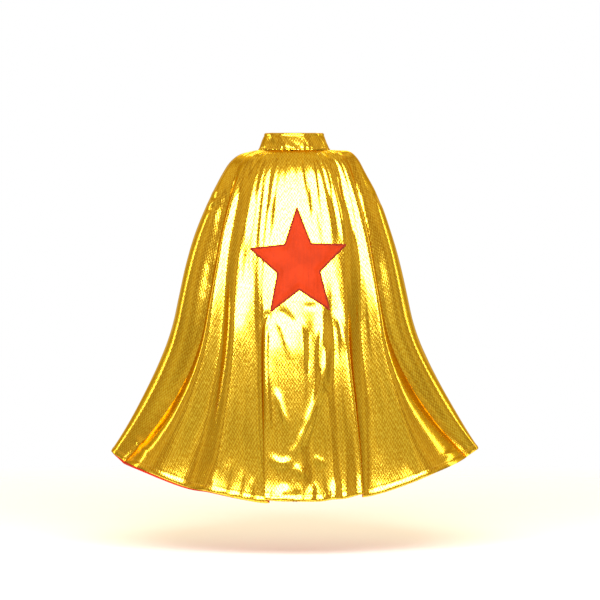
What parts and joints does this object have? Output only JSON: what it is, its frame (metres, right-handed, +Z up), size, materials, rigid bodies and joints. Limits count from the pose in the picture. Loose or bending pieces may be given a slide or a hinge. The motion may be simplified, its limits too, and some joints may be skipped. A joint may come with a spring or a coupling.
{
  "type": "superhero cape",
  "caption": "Child's costume cape of gold cloth with a red lining, a stand collar with a closure tab, and a star on the back.",
  "frame": {"origin": "middle of the neck opening, at the height of the neck seam", "axes": "+Z up out of the collar, +Y the way the wearer faces, so the star on the back faces -Y"},
  "size_m": [0.7351, 0.3932, 0.7234],
  "materials": {
    "gold_lame": "crinkled metallic lame, satin to bright",
    "red_lining": "plain weave polyester",
    "star_satin": "orange-red satin",
    "border_thread": "dense satin stitch",
    "gold_thread": "sewing thread",
    "red_thread": "sewing thread",
    "red_tape": "ribbed tape",
    "interlining": "stiff non-woven",
    "label_cloth": "woven satin ribbon, blank",
    "hook_tape": "nylon hooks",
    "loop_tape": "napped nylon loops"
  },
  "bodies": {
    "back": {"back_panel": "gold_lame", "back_lining": "red_lining", "back_hem_stitching": "red_thread", "collar_outer": "gold_lame", "collar_interlining": "interlining", "collar_facing": "gold_lame", "collar_stitching": "gold_thread", "neck_tape": "red_tape", "hook_pad": "hook_tape", "star_stabiliser": "interlining", "star_applique": "star_satin", "star_border": "border_thread", "hanger_tack_left": "red_thread", "hanger_tack_right": "red_thread"},
    "left_front": {"left_front_panel": "gold_lame", "left_front_lining": "red_lining", "left_front_hem_stitching": "red_thread"},
    "right_front": {"right_front_panel": "gold_lame", "right_front_lining": "red_lining", "right_front_hem_stitching": "red_thread"},
    "closure_tab": {"closure_tab": "gold_lame", "loop_pad": "loop_tape", "tab_stitching": "gold_thread"},
    "hanger_loop": {"hanger_loop": "red_tape"},
    "care_label": {"care_label": "label_cloth", "label_stitching": "red_thread"}
  },
  "joints": [
    {"name": "left_front_swing", "type": "hinge", "parent": "back", "child": "left_front", "pos_m": [-0.095, -0.08, 0], "axis": [0.3792, 0.0758, 0.9222], "range_deg": [0, 30]},
    {"name": "right_front_swing", "type": "hinge", "parent": "back", "child": "right_front", "pos_m": [0.095, -0.08, 0], "axis": [0.3792, -0.0758, -0.9222], "range_deg": [0, 30]},
    {"name": "closure_tab_peel", "type": "hinge", "parent": "back", "child": "closure_tab", "pos_m": [-0.01698, 0.05672, 0.00635], "axis": [0.0835, -0.3348, 0.9386], "range_deg": [0, 110]},
    {"name": "hanger_loop_swing", "type": "hinge", "parent": "back", "child": "hanger_loop", "pos_m": [0, -0.04959, -0.0025], "axis": [1, 0, 0], "range_deg": [-20, 130]},
    {"name": "care_label_flip", "type": "hinge", "parent": "back", "child": "care_label", "pos_m": [0.04896, -0.03299, -0.0013], "axis": [0.7152, 0.6989, 0], "range_deg": [-20, 120]}
  ]
}
